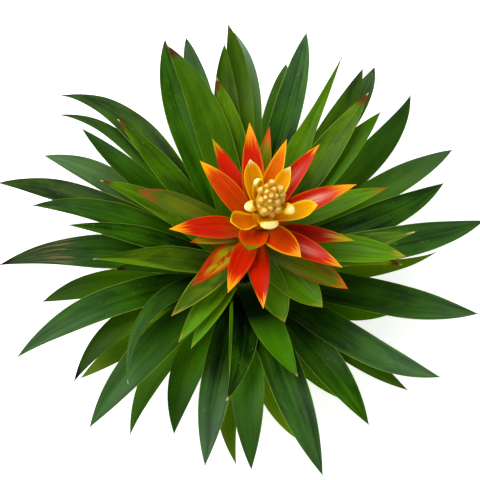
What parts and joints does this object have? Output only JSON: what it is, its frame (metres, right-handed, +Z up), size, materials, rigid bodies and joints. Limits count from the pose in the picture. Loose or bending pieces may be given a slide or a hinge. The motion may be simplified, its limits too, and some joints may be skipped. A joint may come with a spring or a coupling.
{
  "type": "scarlet star bromeliad plant",
  "caption": "Bromeliad cut at its base: a rosette of arching strap leaves round a leaning stalk with a star of red and yellow bracts and a cluster of cream buds.",
  "frame": {"origin": "on the surface that the cut stem stands on, under the middle of the plant's spread", "axes": "+Z up, -Y the front of the plant, +X its right as seen from the front"},
  "size_m": [0.4712, 0.4644, 0.2492],
  "materials": {
    "leaf": "satin",
    "inner_leaf": "satin",
    "stem": "matte",
    "stalk": "satin",
    "red_bract": "satin",
    "yellow_bract": "satin",
    "bud": "satin"
  },
  "bodies": {
    "root": {"stem_base": "stem", "leaf_01": "leaf", "leaf_02": "leaf", "leaf_03": "leaf", "leaf_04": "leaf", "leaf_05": "leaf", "leaf_06": "leaf", "leaf_07": "leaf", "leaf_08": "leaf", "leaf_09": "leaf", "leaf_10": "leaf", "leaf_11": "leaf", "leaf_12": "leaf", "leaf_13": "leaf", "leaf_14": "leaf", "leaf_15": "leaf", "leaf_16": "leaf", "leaf_17": "leaf", "leaf_18": "leaf", "leaf_19": "leaf", "leaf_20": "leaf", "leaf_21": "leaf", "leaf_22": "leaf", "leaf_23": "leaf", "leaf_24": "leaf", "leaf_25": "leaf", "leaf_26": "leaf", "leaf_27": "leaf", "leaf_28": "leaf", "leaf_29": "leaf", "leaf_30": "leaf", "leaf_31": "leaf", "leaf_32": "leaf", "leaf_33": "leaf", "leaf_34": "leaf", "leaf_35": "leaf", "leaf_36": "leaf", "leaf_37": "leaf", "leaf_38": "leaf", "leaf_39": "leaf", "leaf_40": "leaf", "leaf_41": "leaf", "leaf_42": "leaf", "leaf_43": "leaf", "leaf_44": "leaf", "leaf_45": "inner_leaf", "leaf_46": "inner_leaf", "leaf_47": "inner_leaf", "leaf_48": "inner_leaf", "leaf_49": "inner_leaf", "leaf_50": "inner_leaf", "leaf_51": "inner_leaf", "leaf_52": "inner_leaf", "leaf_53": "inner_leaf", "leaf_54": "inner_leaf", "leaf_55": "inner_leaf", "flower_stalk": "stalk", "red_bracts": "red_bract", "yellow_bracts": "yellow_bract", "flower_cluster": "bud"}
  },
  "joints": []
}
